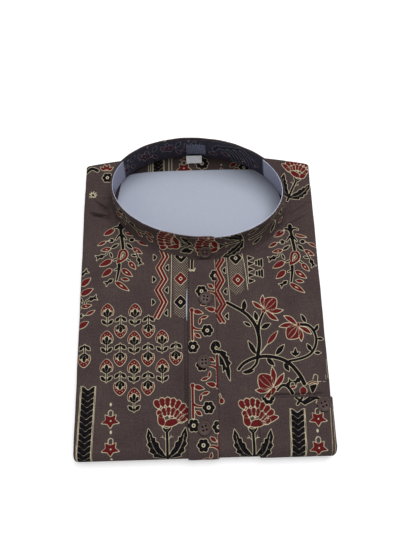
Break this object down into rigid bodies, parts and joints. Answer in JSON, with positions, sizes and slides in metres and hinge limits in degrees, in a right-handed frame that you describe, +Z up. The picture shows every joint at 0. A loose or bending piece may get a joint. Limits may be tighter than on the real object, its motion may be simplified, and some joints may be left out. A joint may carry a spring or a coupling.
{
  "type": "folded kurta tunic with neck card",
  "caption": "Block-printed cotton kurta folded into a rectangle, its standing band collar held open round a plain card, with a buttoned placket and a patch pocket.",
  "frame": {"origin": "under the middle of the fold, on the surface it rests on", "axes": "+Y from the lower fold to the collar, +Z up out of the front, +X to the right of someone looking down from the lower fold"},
  "size_m": [0.2552, 0.3224, 0.0608],
  "materials": {
    "printed_cotton": "plain-weave cotton, dark taupe, printed in cream, brick red and blue-black",
    "card": "uncoated white paper card, cool in shade",
    "clear_plastic": "thin clear plastic strip, glossy",
    "label_weave": "dark woven label, bare",
    "tab_tape": "white woven tape, bare",
    "button_wood": "dark turned wood or coconut shell, satin"
  },
  "bodies": {
    "root": {"front_panel": "printed_cotton", "yoke": "printed_cotton", "folded_layers": "printed_cotton", "collar_band": "printed_cotton", "placket": "printed_cotton", "pocket": "printed_cotton", "neck_card": "card", "collar_strip": "clear_plastic", "neck_label": "label_weave", "size_tab": "tab_tape", "button_collar": "button_wood", "button_1": "button_wood", "button_2": "button_wood", "button_3": "button_wood", "button_pocket": "button_wood"}
  },
  "joints": []
}
